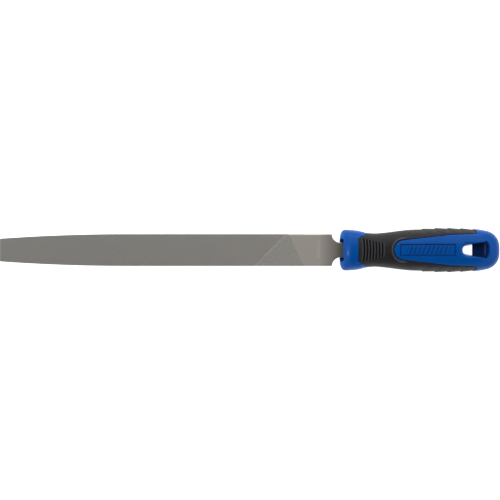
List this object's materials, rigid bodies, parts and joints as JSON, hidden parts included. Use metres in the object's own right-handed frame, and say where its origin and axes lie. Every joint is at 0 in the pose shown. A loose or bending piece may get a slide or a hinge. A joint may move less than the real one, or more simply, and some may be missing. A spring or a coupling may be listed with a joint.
{
  "type": "flat file",
  "caption": "Flat file for metalwork: a tapered double-cut steel blade whose tang is pressed into a hard blue plastic handle with a black soft grip and a fan-shaped hanging hole.",
  "frame": {"origin": "centre of the file's bounding box: half way from tip to butt, on the blade's centreline and mid-plane", "axes": "+X from the blade's tip to the handle's butt, +Y across the blade's width, +Z out of the upper face"},
  "size_m": [0.3764, 0.0336, 0.025],
  "materials": {
    "file_steel": "hardened steel, double-cut teeth, ground satin heel",
    "handle_plastic": "moulded polypropylene, blue, semi-gloss",
    "grip_rubber": "thermoplastic rubber, black, fine matt texture"
  },
  "bodies": {
    "file": {"file_blade": "file_steel"},
    "handle": {"handle_body": "handle_plastic", "soft_grip": "grip_rubber"}
  },
  "joints": [
    {"name": "handle_pull", "type": "slide", "parent": "file", "child": "handle", "axis": [1, 0, 0], "range_m": [0, 0.07]}
  ]
}
